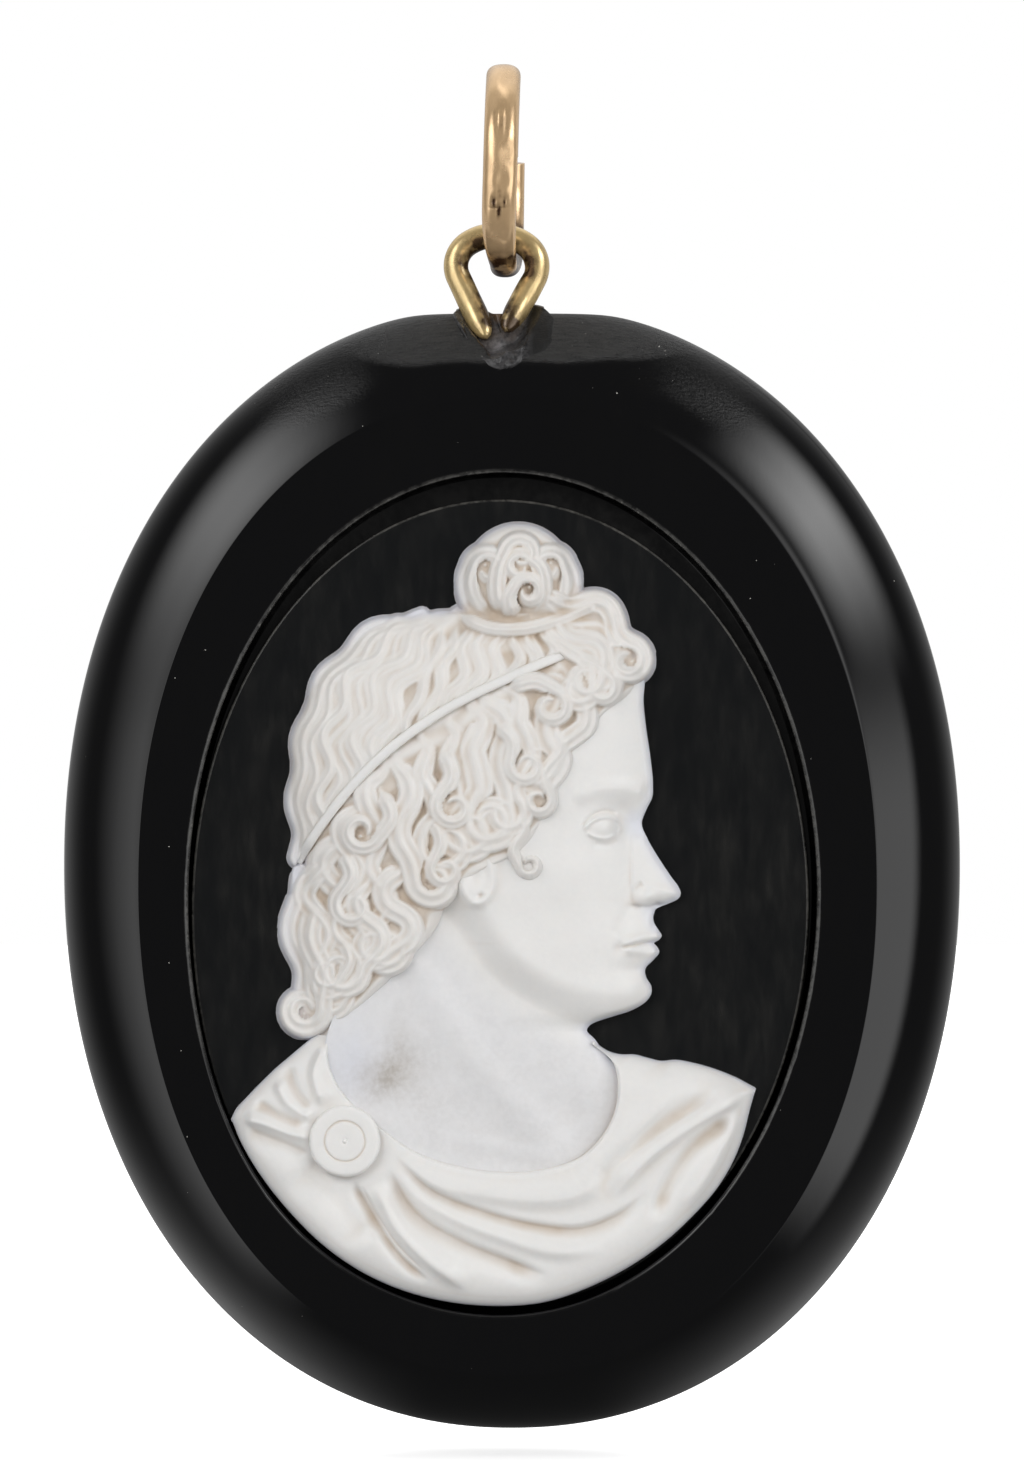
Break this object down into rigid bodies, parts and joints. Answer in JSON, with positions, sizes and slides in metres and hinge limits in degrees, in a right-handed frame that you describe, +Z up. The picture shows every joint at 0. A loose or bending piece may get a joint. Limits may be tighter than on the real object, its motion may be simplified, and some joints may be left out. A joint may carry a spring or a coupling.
{
  "type": "cameo pendant",
  "caption": "Oval cameo pendant: a white relief bust on a black plaque, set in a thick black stone surround, with a wire bail and an open jump ring that a chain passes through.",
  "frame": {"origin": "inside top of the jump ring, where a chain carries the pendant", "axes": "+Z up, +X to the right of the bust's picture as the viewer sees it, -Y out of the face towards the viewer, the flat back faces +Y"},
  "size_m": [0.0413, 0.0107, 0.0629],
  "materials": {
    "rose_gold": "satin",
    "yellow_gold": "satin",
    "cement": "satin",
    "black_stone": "polished",
    "plaque_stone": "satin",
    "white_stone": "satin"
  },
  "bodies": {
    "ring": {"jump_ring": "rose_gold"},
    "pendant": {"bail": "yellow_gold", "bail_cement": "cement", "frame": "black_stone", "cameo_ground": "plaque_stone", "cameo_bust": "white_stone"}
  },
  "joints": [
    {"name": "bail_swing", "type": "hinge", "parent": "ring", "child": "pendant", "pos_m": [-0.0002, 0, -0.0067], "axis": [1, 0, 0], "range_deg": [-50, 50]}
  ]
}
